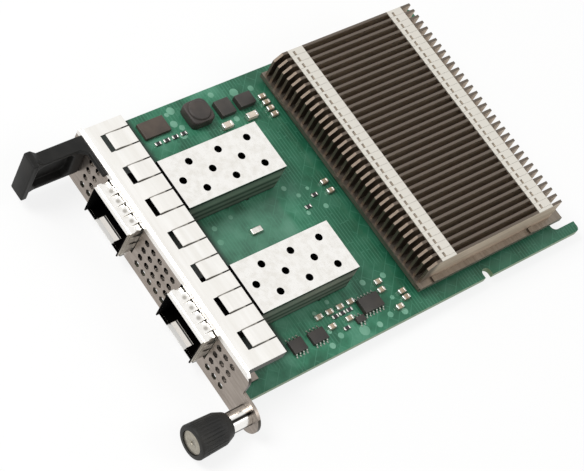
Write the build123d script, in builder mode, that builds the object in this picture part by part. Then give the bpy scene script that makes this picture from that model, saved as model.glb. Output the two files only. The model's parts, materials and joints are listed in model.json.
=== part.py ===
from build123d import *
from math import atan2, degrees
import os

os.makedirs("parts", exist_ok=True)

# Plug-in network card. X runs along the faceplate from the pull tab to the thumbscrew, Y runs from
# the faceplate's front plane to the rear of the board, Z is up from the board's top face.

# Circuit board
board_width = 76.0
board_rear = 113.8
board_thickness = 1.57
board_corner_radius = 1.2
board_gap = 0.3
guide_ear_width = 2.8
tongue_setback = 2.8
tongue_slot_width = 3.2
tongue_slot_depth = 7.3
key_slot_width = 1.3
key_slot_depth = 3.0
key_slot_spots = (-16.5, 9.0)
edge_notch_width = 2.6
edge_notch_depth = 2.4
edge_notch_spot = 80.8

# Faceplate, one folded sheet
sheet = 0.8
plate_far_inset = 3.0
plate_near_inset = 0.6
plate_bottom = -3.9
plate_top = 11.6
plate_corner_radius = 3.0
fold_radius = 0.6
flange_far_inset = 3.6
flange_near_inset = 2.9
flange_depth = 11.7
flange_lip = 2.6
foot_far_inset = 7.5
foot_near_inset = 6.5
foot_width = 6.4
foot_depth = 8.4
vent_size = 1.9
vent_pitch_x = 2.65
vent_pitch_z = 3.0
vent_rows = 4
vent_bottom_row = -1.1
vent_margin = 1.0
near_vent_columns = 3
near_vent_gap = 1.66
far_vent_columns = 2
far_vent_gap = 3.54

# Spring finger strip on the faceplate's top flange
strip_thickness = 0.2
strip_front = 0.9
finger_count = 7
finger_far_margin = 5.66
finger_near_margin = 6.66
finger_width = 4.7
finger_slit = 0.12
finger_slot_front = 3.7
finger_slot = 1.3
finger_root = 9.0
finger_rise = 0.35
finger_tip_rise = 0.2
finger_overlap = 0.6
rear_slit_width = 0.3
rear_slit_length = 2.0
window_margin = 0.4

# Port cages and what sits in and around them
far_cage_inset = 24.34
near_cage_inset = 20.91
cage_width = 14.0
cage_top = 9.8
cage_wall = 0.35
cage_floor_gap = 0.3
cage_overhang = 4.2
cage_rear = 43.3
cage_hole = 2.0
cage_hole_pitch = 8.81
cage_hole_first = 16.65
cage_hole_row = 3.97
cage_hole_count = 3
floor_setback = 1.4
latch_notch_width = 7.0
latch_notch_depth = 3.7
pin_count = 2
pin_pitch = 26.0
pin_first = 9.0
pin_size = 0.6
pin_depth = 1.3
pin_clearance = 0.15
port_clearance = 0.55
collar_gap = 0.03
collar_thickness = 0.2
collar_front_gap = 0.9
collar_band = 1.1
collar_finger_width = 2.0
collar_finger_pitch = 2.9
collar_finger_crest = -0.4
collar_finger_end = 0.9
collar_finger_rise = 0.25
collar_top_fingers = 4
collar_side_fingers = 2
connector_side_gap = 0.95
connector_front = 32.5
connector_length = 9.0
connector_height = 6.4
connector_chamfer = 1.0
connector_wall = 0.9
connector_slot_height = 1.9
connector_slot_floor = 2.6
connector_slot_depth = 6.6
contact_count = 10
contact_width = 0.35
contact_thickness = 0.2
contact_length = 5.0

# Heat sink
base_far_inset = 3.0
base_near_inset = 4.1
base_front = 58.6
base_rear_inset = 5.2
base_bottom = 1.8
base_thickness = 1.4
base_rib_width = 1.5
base_rib_height = 0.5
boss_diameter = 5.0
boss_inset = 4.5
fin_pitch = 2.0
fin_far_inset = 1.0
fin_near_inset = 1.9
fin_thickness = 0.7
fin_front_inset = 0.9
fin_rear_inset = 3.6
fin_top = 11.0
fin_chamfer = 2.0
front_bar_inset = 3.7
rear_bar_inset = 8.1
lock_bar_thin = 1.2
lock_bar_slot = 0.7
lock_bar_thick = 2.9
lock_bar_sheet = 0.35
lock_bar_gap = 0.05
chip_size = 21.0
chip_height = 1.5
pad_margin = 2.1

# Screws, holes and the sheet under the board; small rounds have twelve sides
round_sides = 12
screw_clearance = 0.04
board_hole_clearance = 0.4
heat_screw_diameter = 2.0
heat_screw_head = 4.0
heat_screw_head_height = 1.2
foot_screw_diameter = 2.5
foot_screw_head = 4.5
foot_screw_head_height = 1.3
insulator_thickness = 0.25
insulator_margin = 4.0
insulator_front = 12.0
insulator_rear_inset = 13.8
insulator_clearance = 0.7

# Parts soldered beside the ports
inductor_size = 6.8
inductor_height = 3.4
inductor_corner = 1.6
inductor_chamfer = 0.5
inductor_inset = 6.0
inductor_spot = 36.8
small_capacitor = (1.2, 2.0, 1.0)
far_capacitor_inset = 7.8
far_capacitor_spot = 56.3
far_capacitor_pitch = 1.9
far_capacitor_count = 4
near_capacitor_inset = 10.0
near_capacitor_spot = 31.6
near_capacitor_pitch = 3.3
near_capacitor_count = 4
small_resistor = (0.9, 1.7, 0.5)
far_resistor_inset = 9.0
far_resistor_spot = 23.0
far_resistor_pitch = 2.6
far_resistor_count = 4
near_resistor_inset = 8.4
near_resistor_spot = 35.8
near_resistor_pitch = 2.2
near_resistor_count = 3
regulator_spot = (4.8, 24.4)
regulator_size = (4.6, 7.6, 1.1)
driver_spots = ((7.0, 44.7), (7.2, 50.9))
driver_sizes = ((4.6, 4.4, 1.6), (3.6, 4.8, 1.8))
memory_spot = (7.4, 46.0)
memory_size = (4.0, 6.0, 1.4)
logic_spots = ((6.1, 22.2), (6.0, 28.4), (5.0, 41.2))
logic_sizes = ((3.4, 4.0, 1.0), (3.2, 4.6, 1.0), (1.6, 2.6, 0.9))
crystal_spot = 31.6
crystal_size = (1.6, 3.2, 0.9)
film_capacitor_spots = ((11.7, 50.1), (11.6, 42.5))
film_capacitor_sizes = ((1.6, 3.2, 1.5), (1.6, 3.0, 1.3))
single_capacitor_spots = ((6.5, 33.2), (6.4, 38.6), (9.2, 51.0), (11.4, 51.6), (6.6, 55.8), (4.8, 55.8),
                          (3.4, 52.6))
middle_capacitor_insets = (4.3, 1.5)
single_resistor_spot = (4.6, 36.6)
middle_resistor_spots = ((2.3, 51.8), (0.1, 48.2))

# Pull tab
tab_inset = 1.4
tab_width = 3.6
tab_bottom = 0.4
tab_top = 11.3
tab_reach = 16.4
tab_end_thickness = 1.6
tab_end_bottom = -0.6
tab_end_top = 13.4
tab_end_width = 4.6
tab_flare = 2.2
tab_pocket_depth = 2.0
tab_pocket_rim = 1.3
tab_pocket_root = 3.4
tab_pocket_corner = 1.2
tab_lip_length = 11.6
tab_lip_thickness = 1.0
tab_lip_height = 1.4
tab_gusset_reach = 2.6
tab_gusset_width = 2.2
tab_screw_diameter = 1.9
tab_screw_head = 3.4
tab_screw_head_height = 1.0
tab_screw_length = 3.0
tab_screw_inset = 1.7
tab_screw_spread = 4.8

# Captive thumbscrew
screw_reach = 2.9
screw_z = 0.7
ear_radius = 4.6
knob_front = -15.4
knob_rear = -5.4
knob_sides = 18
knob_front_radius = 4.35
knob_rear_radius = 4.05
knob_taper = 2.4
knob_end_radius = 3.1
knob_edge = 0.4
skirt_clearance = 0.3
skirt_depth = 6.2
sleeve_radius = 2.6
sleeve_front = -6.4
sleeve_lip = 0.7
sleeve_proud = 0.5
sleeve_bore_radius = 2.05
screw_radius = 1.5
screw_tip = 1.0
passage_clearance = 0.15
head_radius = 3.05
head_height = 1.1
head_inset = 0.2
drive_size = 1.0
drive_depth = 0.7
ring_front = -5.5
ring_thickness = 0.45
ring_radius = 1.95
ring_groove_depth = 0.4
ring_clearance = 0.04

# Sizes that follow from those above
far_edge = -board_width / 2
near_edge = board_width / 2
board_front = sheet + board_gap
board_bottom = -board_thickness
tongue_rear = board_rear - tongue_setback
plate_left = far_edge + plate_far_inset
plate_right = near_edge - plate_near_inset
flange_left = far_edge + flange_far_inset
flange_right = near_edge - flange_near_inset
flange_middle = (flange_left + flange_right) / 2
foot_middle = (foot_depth + sheet) / 2
foot_spots = [(far_edge + foot_far_inset, foot_middle), (near_edge - foot_near_inset, foot_middle)]
strip_top = plate_top + strip_thickness
finger_pitch = (flange_right - finger_near_margin - flange_left - finger_far_margin) / (finger_count - 1)
finger_spots = [flange_left + finger_far_margin + i * finger_pitch for i in range(finger_count)]
window_middle = (finger_slot_front + finger_root) / 2
window_depth = finger_root - finger_slot_front
cage_spots = {"far": far_edge + far_cage_inset, "near": near_edge - near_cage_inset}
cage_height = cage_top - cage_floor_gap
cage_center = (cage_top + cage_floor_gap) / 2
cage_floor = cage_floor_gap + cage_wall
cage_inner_rear = cage_rear - cage_wall
pin_spots = [pin_first + i * pin_pitch for i in range(pin_count)]
port_width = cage_width + 2 * port_clearance
port_height = cage_height + 2 * port_clearance
ports_middle = (cage_spots["far"] + cage_spots["near"]) / 2
ports_between = cage_spots["near"] - cage_spots["far"] - port_width
vent_columns = 1 + int((ports_between - 2 * vent_margin - vent_size) / vent_pitch_x)
connector_width = cage_width - 2 * cage_wall - 2 * connector_side_gap
connector_slot_width = connector_width - 2 * connector_wall
contact_pitch = connector_slot_width / (contact_count + 2)
base_left = far_edge + base_far_inset
base_right = near_edge - base_near_inset
base_rear = board_rear - base_rear_inset
base_top = base_bottom + base_thickness
base_middle = ((base_left + base_right) / 2, (base_front + base_rear) / 2)
boss_spots = [(x, y) for x in (base_left + boss_inset, base_right - boss_inset)
              for y in (base_front + boss_inset, base_rear - boss_inset)]
fin_first = base_left + fin_far_inset
fin_count = 1 + round((base_right - fin_near_inset - fin_first) / fin_pitch)
fin_spots = [fin_first + i * fin_pitch for i in range(fin_count)]
fin_front = base_front + fin_front_inset
fin_rear = base_rear - fin_rear_inset
lock_bar_spots = (fin_front + front_bar_inset, fin_rear - rear_bar_inset)
tab_left = plate_left + tab_inset
tab_right = tab_left + tab_width
tab_arm_end = tab_end_thickness - tab_reach
tab_screw_spots = [(tab_left + tab_screw_inset, (tab_bottom + tab_top) / 2 + side * tab_screw_spread / 2)
                   for side in (-1, 1)]
screw_x = near_edge + screw_reach
screw_axis = Axis((screw_x, 0, screw_z), (0, 1, 0))
screw_plane = Plane(origin=(screw_x, 0, screw_z), x_dir=(1, 0, 0), z_dir=(0, 0, 1))
screw_face = Plane(origin=(screw_x, 0, screw_z), x_dir=(1, 0, 0), z_dir=(0, 1, 0))
passage_radius = screw_radius + passage_clearance
groove_radius = screw_radius - ring_groove_depth
head_front = knob_front + head_inset
head_rear = head_front + head_height


def keep(piece, label):
    piece.part.label = label
    export_step(piece.part, f"parts/{label}.step")


def row(first, pitch, count):
    return [first + i * pitch for i in range(count)]


# Upright plane that looks out to the front, at depth y behind the faceplate's front
def upright(y):
    return Plane.XZ.offset(-y)


# Headed screws driven along the normal of the plane that their heads rest on
def screws(plane, spots, diameter, length, head_diameter, head_height):
    with BuildPart() as group:
        with BuildSketch(plane):
            with Locations(*spots):
                RegularPolygon(head_diameter / 2, round_sides)
        extrude(amount=-head_height)
        with BuildSketch(plane):
            with Locations(*spots):
                RegularPolygon(diameter / 2, round_sides)
        extrude(amount=length)
    return group


# Circuit board with its plug-in tongue, guide ears, edge notch and holes
with BuildPart() as circuit_board:
    with BuildSketch(Plane.XY.offset(board_bottom)) as outline:
        with Locations((0, (board_front + board_rear) / 2)):
            Rectangle(board_width, board_rear - board_front)
        fillet(outline.vertices().group_by(Axis.Y)[-1], board_corner_radius)
        with Locations((0, board_rear)):
            Rectangle(board_width - 2 * guide_ear_width, 2 * tongue_setback, mode=Mode.SUBTRACT)
        slot_x = near_edge - guide_ear_width - tongue_slot_width / 2
        with Locations((-slot_x, board_rear), (slot_x, board_rear)):
            RectangleRounded(tongue_slot_width, 2 * tongue_slot_depth, tongue_slot_width * 0.49,
                             mode=Mode.SUBTRACT)
        with Locations(*[(x, tongue_rear) for x in key_slot_spots]):
            Rectangle(key_slot_width, 2 * key_slot_depth, mode=Mode.SUBTRACT)
        with Locations((near_edge, edge_notch_spot)):
            RectangleRounded(2 * edge_notch_depth, edge_notch_width, edge_notch_width * 0.49,
                             mode=Mode.SUBTRACT)
        with Locations(*boss_spots):
            RegularPolygon(heat_screw_diameter / 2 + board_hole_clearance, round_sides, mode=Mode.SUBTRACT)
        with Locations(*foot_spots):
            RegularPolygon(foot_screw_diameter / 2 + board_hole_clearance, round_sides, mode=Mode.SUBTRACT)
        with Locations(*[(cage_x + side * (cage_width - cage_wall) / 2, y)
                         for cage_x in cage_spots.values() for side in (-1, 1) for y in pin_spots]):
            Rectangle(cage_wall + 2 * pin_clearance, pin_size + 2 * pin_clearance, mode=Mode.SUBTRACT)
    extrude(amount=board_thickness)
keep(circuit_board, "circuit_board")

# Insulating sheet on the underside of the board
with BuildPart() as bottom_insulator:
    insulator_rear = board_rear - insulator_rear_inset
    with BuildSketch(Plane.XY.offset(board_bottom)):
        with Locations((0, (insulator_front + insulator_rear) / 2)):
            Rectangle(board_width - 2 * insulator_margin, insulator_rear - insulator_front)
        with Locations(*boss_spots):
            RegularPolygon(heat_screw_head / 2 + insulator_clearance, round_sides, mode=Mode.SUBTRACT)
    extrude(amount=-insulator_thickness)
keep(bottom_insulator, "bottom_insulator")

# Faceplate: front wall with the thumbscrew's ear, port cut-outs and vents, top flange and two feet
with BuildPart() as faceplate:
    with BuildSketch(Plane.XZ) as wall:
        with Locations(((plate_left + plate_right) / 2, (plate_bottom + plate_top) / 2)):
            Rectangle(plate_right - plate_left, plate_top - plate_bottom)
        fillet(wall.vertices().group_by(Axis.Y)[-1].sort_by(Axis.X)[-1], plate_corner_radius)
        with Locations((screw_x, screw_z)):
            Circle(ear_radius)
        with Locations(((screw_x + plate_left) / 2, screw_z)):
            Rectangle(screw_x - plate_left, 2 * ear_radius)
        with Locations((screw_x, screw_z)):
            Circle(sleeve_radius + screw_clearance, mode=Mode.SUBTRACT)
        with Locations(*[(x, cage_center) for x in cage_spots.values()]):
            Rectangle(port_width, port_height, mode=Mode.SUBTRACT)
        vents_x = row(ports_middle - (vent_columns - 1) / 2 * vent_pitch_x, vent_pitch_x, vent_columns)
        vents_x += row(cage_spots["near"] + port_width / 2 + near_vent_gap, vent_pitch_x, near_vent_columns)
        vents_x += row(cage_spots["far"] - port_width / 2 - far_vent_gap, -vent_pitch_x, far_vent_columns)
        with Locations(*[(x, z) for x in vents_x for z in row(vent_bottom_row, vent_pitch_z, vent_rows)]):
            RegularPolygon(vent_size / 2, 6, mode=Mode.SUBTRACT)
        with Locations(*tab_screw_spots):
            RegularPolygon(tab_screw_diameter / 2 + screw_clearance, round_sides, mode=Mode.SUBTRACT)
    extrude(amount=-sheet)
    with BuildSketch(Plane.XY.offset(plate_top)):
        with Locations((flange_middle, flange_depth / 2)):
            Rectangle(flange_right - flange_left, flange_depth)
        with Locations(*[(x, window_middle) for x in finger_spots]):
            Rectangle(finger_width + 2 * window_margin, window_depth + 2 * window_margin, mode=Mode.SUBTRACT)
    extrude(amount=-sheet)
    with BuildSketch(Plane.XY.offset(plate_top)):
        with Locations(*[(x, flange_depth / 2 + sheet)
                         for x in (flange_left + sheet / 2, flange_right - sheet / 2)]):
            Rectangle(sheet, flange_depth - 2 * sheet)
    extrude(amount=-flange_lip)
    with BuildSketch(Plane.XY):
        with Locations(*[(x, foot_depth / 2) for x, y in foot_spots]):
            Rectangle(foot_width, foot_depth)
        with Locations(*foot_spots):
            RegularPolygon(foot_screw_diameter / 2 + screw_clearance, round_sides, mode=Mode.SUBTRACT)
    extrude(amount=sheet)
    fold = faceplate.edges().filter_by(Axis.X).group_by(Axis.Z)[-1].group_by(Axis.Y)[0]
    fillet(fold, fold_radius)
keep(faceplate, "faceplate")

# Stamped strip of grounding fingers, each hinged at the rear and lifted at its free front end
with BuildPart() as top_spring_fingers:
    finger_tip = finger_slot_front + finger_slot
    finger_crest = finger_tip + finger_slot
    with BuildSketch(Plane.XY.offset(plate_top)):
        with Locations((flange_middle, (strip_front + flange_depth) / 2)):
            Rectangle(flange_right - flange_left, flange_depth - strip_front)
        with Locations(*[(x, window_middle) for x in finger_spots]):
            Rectangle(finger_width + 2 * finger_slit, window_depth, mode=Mode.SUBTRACT)
        slit_offset = (finger_width + finger_slit) / 2
        with Locations(*[(x + side * slit_offset, flange_depth - rear_slit_length / 2)
                         for x in finger_spots for side in (-1, 1)]):
            Rectangle(rear_slit_width, rear_slit_length, mode=Mode.SUBTRACT)
    extrude(amount=strip_thickness)
    for finger_x in finger_spots:
        with BuildSketch(Plane.YZ.offset(finger_x)):
            with BuildLine():
                Polyline((finger_root + finger_overlap, plate_top),
                         (finger_root, plate_top),
                         (finger_crest, plate_top + finger_rise),
                         (finger_tip, plate_top + finger_tip_rise),
                         (finger_tip, strip_top + finger_tip_rise),
                         (finger_crest, strip_top + finger_rise),
                         (finger_root, strip_top),
                         (finger_root + finger_overlap, strip_top), close=True)
            make_face()
        extrude(amount=finger_width / 2, both=True)
keep(top_spring_fingers, "top_spring_fingers")

# Screws from below that hold the board to the faceplate's feet
foot_screws = screws(Plane.XY.offset(board_bottom), foot_spots, foot_screw_diameter, board_thickness + sheet,
                     foot_screw_head, foot_screw_head_height)
keep(foot_screws, "foot_screws")

# Two ports: folded cage, spring collar, socket block and its contacts
for port, cage_x in cage_spots.items():
    with BuildPart() as port_cage:
        with BuildSketch(upright(-cage_overhang)):
            with Locations((cage_x, cage_center)):
                Rectangle(cage_width, cage_height)
                Rectangle(cage_width - 2 * cage_wall, cage_height - 2 * cage_wall, mode=Mode.SUBTRACT)
        extrude(amount=-cage_overhang - cage_rear)
        with BuildSketch(upright(cage_rear)):
            with Locations((cage_x, cage_center)):
                Rectangle(cage_width, cage_height)
        extrude(amount=cage_wall)
        with BuildSketch(Plane.XY.offset(cage_floor)):
            with Locations((cage_x, floor_setback / 2 - cage_overhang)):
                Rectangle(cage_width - 2 * cage_wall, floor_setback)
            with Locations((cage_x, latch_notch_depth / 2 - cage_overhang)):
                Rectangle(latch_notch_width, latch_notch_depth)
            with Locations((cage_x, (connector_front - port_clearance + cage_inner_rear) / 2)):
                Rectangle(connector_width + connector_side_gap,
                          cage_inner_rear - connector_front + port_clearance)
        extrude(amount=-cage_wall, mode=Mode.SUBTRACT)
        with BuildSketch(Plane.XY.offset(cage_top)):
            holes_y = row(cage_hole_first, cage_hole_pitch, cage_hole_count)
            with Locations(*[(cage_x, y) for y in holes_y],
                           *[(cage_x + side * cage_hole_row, y + cage_hole_pitch / 2)
                             for side in (-1, 1) for y in holes_y]):
                RegularPolygon(cage_hole / 2, round_sides)
        extrude(amount=-cage_wall, mode=Mode.SUBTRACT)
        walls_x = [cage_x + side * (cage_width - cage_wall) / 2 for side in (-1, 1)]
        with Locations(*[(x, y, (cage_floor - pin_depth) / 2) for x in walls_x for y in pin_spots]):
            Box(cage_wall, pin_size, cage_floor + pin_depth)
    keep(port_cage, f"port_cage_{port}")

    with BuildPart() as port_collar:
        inner_width = cage_width + 2 * collar_gap
        inner_height = cage_height + 2 * collar_gap
        collar_front = collar_front_gap - cage_overhang
        with BuildSketch(upright(collar_front)):
            with Locations((cage_x, cage_center)):
                Rectangle(inner_width + 2 * collar_thickness, inner_height + 2 * collar_thickness)
                Rectangle(inner_width, inner_height, mode=Mode.SUBTRACT)
        extrude(amount=-collar_band)
        finger_line = [(collar_front + collar_band / 2, 0), (collar_finger_crest, collar_finger_rise),
                       (collar_finger_end, 0)]
        finger_line += [(y, h + collar_thickness) for y, h in reversed(finger_line)]
        for x in row(cage_x - (collar_top_fingers - 1) / 2 * collar_finger_pitch, collar_finger_pitch,
                     collar_top_fingers):
            with BuildSketch(Plane.YZ.offset(x)):
                with BuildLine():
                    Polyline(*[(y, cage_center + inner_height / 2 + h) for y, h in finger_line], close=True)
                make_face()
            extrude(amount=collar_finger_width / 2, both=True)
        for z in row(cage_center - (collar_side_fingers - 1) / 2 * collar_finger_pitch, collar_finger_pitch,
                     collar_side_fingers):
            with BuildSketch(Plane.XY.offset(z)):
                for side in (-1, 1):
                    with BuildLine():
                        Polyline(*[(cage_x + side * (inner_width / 2 + h), y) for y, h in finger_line],
                                 close=True)
                    make_face()
            extrude(amount=collar_finger_width / 2, both=True)
    keep(port_collar, f"port_collar_{port}")

    with BuildPart() as port_connector:
        with Locations((cage_x, connector_front + connector_length / 2, connector_height / 2)):
            Box(connector_width, connector_length, connector_height)
        nose = port_connector.edges().filter_by(Axis.X).group_by(Axis.Y)[0].sort_by(Axis.Z)[-1]
        chamfer(nose, connector_chamfer)
        with Locations((cage_x, connector_front + connector_slot_depth / 2,
                        connector_slot_floor + connector_slot_height / 2)):
            Box(connector_slot_width, connector_slot_depth, connector_slot_height, mode=Mode.SUBTRACT)
    keep(port_connector, f"port_connector_{port}")

    with BuildPart() as connector_contacts:
        contact_middle = connector_front + connector_slot_depth - contact_length / 2
        contacts_x = row(cage_x - (contact_count - 1) / 2 * contact_pitch, contact_pitch, contact_count)
        contacts_z = [connector_slot_floor + contact_thickness / 2,
                      connector_slot_floor + connector_slot_height - contact_thickness / 2]
        with Locations(*[(x, contact_middle, z) for x in contacts_x for z in contacts_z]):
            Box(contact_width, contact_length, contact_thickness)
    keep(connector_contacts, f"connector_contacts_{port}")

# Controller chip and the pad that carries its heat into the heat sink
with BuildPart() as controller_chip:
    with Locations((*base_middle, chip_height / 2)):
        Box(chip_size, chip_size, chip_height)
keep(controller_chip, "controller_chip")

with BuildPart() as thermal_pad:
    with Locations((*base_middle, (chip_height + base_bottom) / 2)):
        Box(chip_size - 2 * pad_margin, chip_size - 2 * pad_margin, base_bottom - chip_height)
keep(thermal_pad, "thermal_pad")

# Heat sink base on four bosses, with two ribs beside the last fin
with BuildPart() as heat_sink_base:
    with BuildSketch(Plane.XY.offset(base_bottom)):
        with Locations(base_middle):
            Rectangle(base_right - base_left, base_rear - base_front)
    extrude(amount=base_thickness)
    with BuildSketch(Plane.XY):
        with Locations(*boss_spots):
            RegularPolygon(boss_diameter / 2, round_sides)
    extrude(amount=base_bottom)
    with BuildSketch(Plane.XY):
        with Locations(*boss_spots):
            RegularPolygon(heat_screw_diameter / 2 + screw_clearance, round_sides)
    extrude(amount=base_bottom + base_thickness / 2, mode=Mode.SUBTRACT)
    rib_left = fin_spots[-1] + fin_thickness / 2 + lock_bar_gap
    with BuildSketch(Plane.XY.offset(base_top)):
        with Locations(*[((rib_left + base_right) / 2, y + base_rib_width / 2) for y in lock_bar_spots]):
            Rectangle(base_right - rib_left, base_rib_width)
    extrude(amount=base_rib_height)
keep(heat_sink_base, "heat_sink_base")

# One fin: sheet with a chamfered front, without and with the tabs that reach over to the next fin
with BuildPart() as plain_fin:
    with BuildSketch(Plane.YZ):
        with BuildLine():
            Polyline((fin_front, base_top), (fin_front, fin_top - fin_chamfer),
                     (fin_front + fin_chamfer, fin_top), (fin_rear, fin_top), (fin_rear, base_top), close=True)
        make_face()
    extrude(amount=fin_thickness / 2, both=True)

with BuildPart() as tabbed_fin:
    add(plain_fin.part)
    tab_end = fin_pitch - fin_thickness / 2 - lock_bar_gap
    with BuildSketch(Plane.XY.offset(fin_top)):
        for bar_y in lock_bar_spots:
            thick_y = bar_y + lock_bar_thin + lock_bar_slot
            for strip_y, strip_depth in ((bar_y, lock_bar_thin), (thick_y, lock_bar_thick)):
                with Locations((tab_end / 2, strip_y + strip_depth / 2)):
                    Rectangle(tab_end, strip_depth)
    extrude(amount=-lock_bar_sheet)

# Stack of fins locked together by their tabs
with BuildPart() as fin_stack:
    with Locations(*[(x, 0, 0) for x in fin_spots[:-1]]):
        add(tabbed_fin.part)
    with Locations((fin_spots[-1], 0, 0)):
        add(plain_fin.part)
keep(fin_stack, "fin_stack")

# Screws from below that draw the heat sink down on the chip
heat_sink_screws = screws(Plane.XY.offset(board_bottom), boss_spots, heat_screw_diameter,
                          board_thickness + base_bottom, heat_screw_head, heat_screw_head_height)
keep(heat_sink_screws, "heat_sink_screws")

# Moulded power inductor
with BuildPart() as power_inductor:
    with BuildSketch() as footprint:
        with Locations((far_edge + inductor_inset, inductor_spot)):
            Rectangle(inductor_size, inductor_size)
        chamfer(footprint.vertices(), inductor_corner)
    extrude(amount=inductor_height)
    chamfer(power_inductor.faces().sort_by(Axis.Z)[-1].edges(), inductor_chamfer)
keep(power_inductor, "power_inductor")

# Chips and small parts soldered to the board: centre x and y, width, length and height
small_parts = {
    "regulator_chip": [(far_edge + regulator_spot[0], regulator_spot[1], *regulator_size)],
    "driver_chips": [(far_edge + inset, y, *size) for (inset, y), size in zip(driver_spots, driver_sizes)],
    "memory_chip": [(near_edge - memory_spot[0], memory_spot[1], *memory_size)],
    "logic_chips": [(near_edge - inset, y, *size) for (inset, y), size in zip(logic_spots, logic_sizes)],
    "crystal": [(ports_middle, crystal_spot, *crystal_size)],
    "film_capacitors": [(far_edge + inset, y, *size)
                        for (inset, y), size in zip(film_capacitor_spots, film_capacitor_sizes)],
    "ceramic_capacitors": [
        *[(x, far_capacitor_spot, *small_capacitor)
          for x in row(far_edge + far_capacitor_inset, far_capacitor_pitch, far_capacitor_count)],
        *[(near_edge - near_capacitor_inset, y, *small_capacitor)
          for y in row(near_capacitor_spot, near_capacitor_pitch, near_capacitor_count)],
        *[(near_edge - inset, y, *small_capacitor) for inset, y in single_capacitor_spots],
        *[(ports_middle - inset, far_capacitor_spot, *small_capacitor) for inset in middle_capacitor_insets],
    ],
    "chip_resistors": [
        *[(far_edge + far_resistor_inset, y, *small_resistor)
          for y in row(far_resistor_spot, far_resistor_pitch, far_resistor_count)],
        *[(near_edge - near_resistor_inset, y, *small_resistor)
          for y in row(near_resistor_spot, near_resistor_pitch, near_resistor_count)],
        (near_edge - single_resistor_spot[0], single_resistor_spot[1], *small_resistor),
        *[(ports_middle - inset, y, *small_resistor) for inset, y in middle_resistor_spots],
    ],
}
for label, places in small_parts.items():
    with BuildPart() as small_part:
        for x, y, width, length, height in places:
            with Locations((x, y, height / 2)):
                Box(width, length, height)
    keep(small_part, label)

# Moulded pull tab: root and lip on the faceplate, hollow arm and flared end
with BuildPart() as pull_tab:
    with BuildSketch(Plane.YZ.offset(tab_left)):
        with BuildLine():
            Polyline((0, tab_bottom), (0, tab_top), (tab_arm_end + tab_flare, tab_top),
                     (tab_arm_end, tab_end_top), (tab_arm_end, tab_end_bottom),
                     (tab_arm_end + tab_flare, tab_bottom), close=True)
        make_face()
    extrude(amount=tab_width)
    with BuildSketch(Plane.YZ.offset(tab_right)) as pocket:
        pocket_length = -tab_pocket_root - tab_arm_end - tab_pocket_rim
        with Locations((-tab_pocket_root - pocket_length / 2, (tab_bottom + tab_top) / 2)):
            Rectangle(pocket_length, tab_top - tab_bottom - 2 * tab_pocket_rim)
        chamfer(pocket.vertices(), tab_pocket_corner)
    extrude(amount=-tab_pocket_depth, mode=Mode.SUBTRACT)
    with BuildSketch(upright(-tab_reach)):
        with Locations((tab_left + tab_end_width / 2, (tab_end_bottom + tab_end_top) / 2)):
            Rectangle(tab_end_width, tab_end_top - tab_end_bottom)
    extrude(amount=-tab_end_thickness)
    with BuildSketch(Plane.XY.offset(tab_top)):
        with Locations((tab_left + tab_lip_length / 2, -tab_lip_thickness / 2)):
            Rectangle(tab_lip_length, tab_lip_thickness)
        with BuildLine():
            Polyline((tab_right, 0), (tab_right, -tab_gusset_reach), (tab_right + tab_gusset_width, 0),
                     close=True)
        make_face()
    extrude(amount=-tab_lip_height)
    with BuildSketch(Plane.XZ):
        with Locations(*tab_screw_spots):
            RegularPolygon(tab_screw_diameter / 2 + screw_clearance, round_sides)
    extrude(amount=tab_screw_length, mode=Mode.SUBTRACT)
keep(pull_tab, "pull_tab")

# Screws from behind the faceplate that hold the pull tab
pull_tab_screws = screws(upright(sheet), tab_screw_spots, tab_screw_diameter, sheet + tab_screw_length,
                         tab_screw_head, tab_screw_head_height)
keep(pull_tab_screws, "pull_tab_screws")

# Sleeve pressed into the faceplate's ear, with a lip that keeps the screw in
with BuildPart() as thumbscrew_sleeve:
    sleeve_rear = sheet + sleeve_proud
    lip_rear = sleeve_front + sleeve_lip
    with BuildSketch(screw_plane):
        with BuildLine():
            Polyline((passage_radius, sleeve_front), (sleeve_radius, sleeve_front), (sleeve_radius, sleeve_rear),
                     (sleeve_bore_radius, sleeve_rear), (sleeve_bore_radius, lip_rear),
                     (passage_radius, lip_rear), close=True)
        make_face()
    revolve(axis=screw_axis)
keep(thumbscrew_sleeve, "thumbscrew_sleeve")

# Knob with a many-sided grip, moulded on the screw's head, and a skirt that slides over the sleeve
with BuildPart() as thumbscrew_knob:
    grip_front = knob_front + knob_edge
    grip_rear = knob_rear - knob_taper
    for front, rear, front_radius, rear_radius in (
            (knob_front, grip_front, knob_front_radius - knob_edge, knob_front_radius),
            (grip_front, grip_rear, knob_front_radius, knob_rear_radius),
            (grip_rear, knob_rear, knob_rear_radius, knob_end_radius)):
        with BuildSketch(screw_face.offset(front)):
            RegularPolygon(front_radius, knob_sides, major_radius=False)
        extrude(amount=rear - front, taper=degrees(atan2(front_radius - rear_radius, rear - front)))
    for front, rear, radius in ((knob_front, head_rear, head_radius + screw_clearance),
                                (head_rear, knob_rear, screw_radius + screw_clearance),
                                (knob_rear - skirt_depth, knob_rear, sleeve_radius + skirt_clearance)):
        with BuildSketch(screw_face.offset(front)):
            RegularPolygon(radius, knob_sides, major_radius=False)
        extrude(amount=rear - front, mode=Mode.SUBTRACT)
keep(thumbscrew_knob, "thumbscrew_knob")

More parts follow.
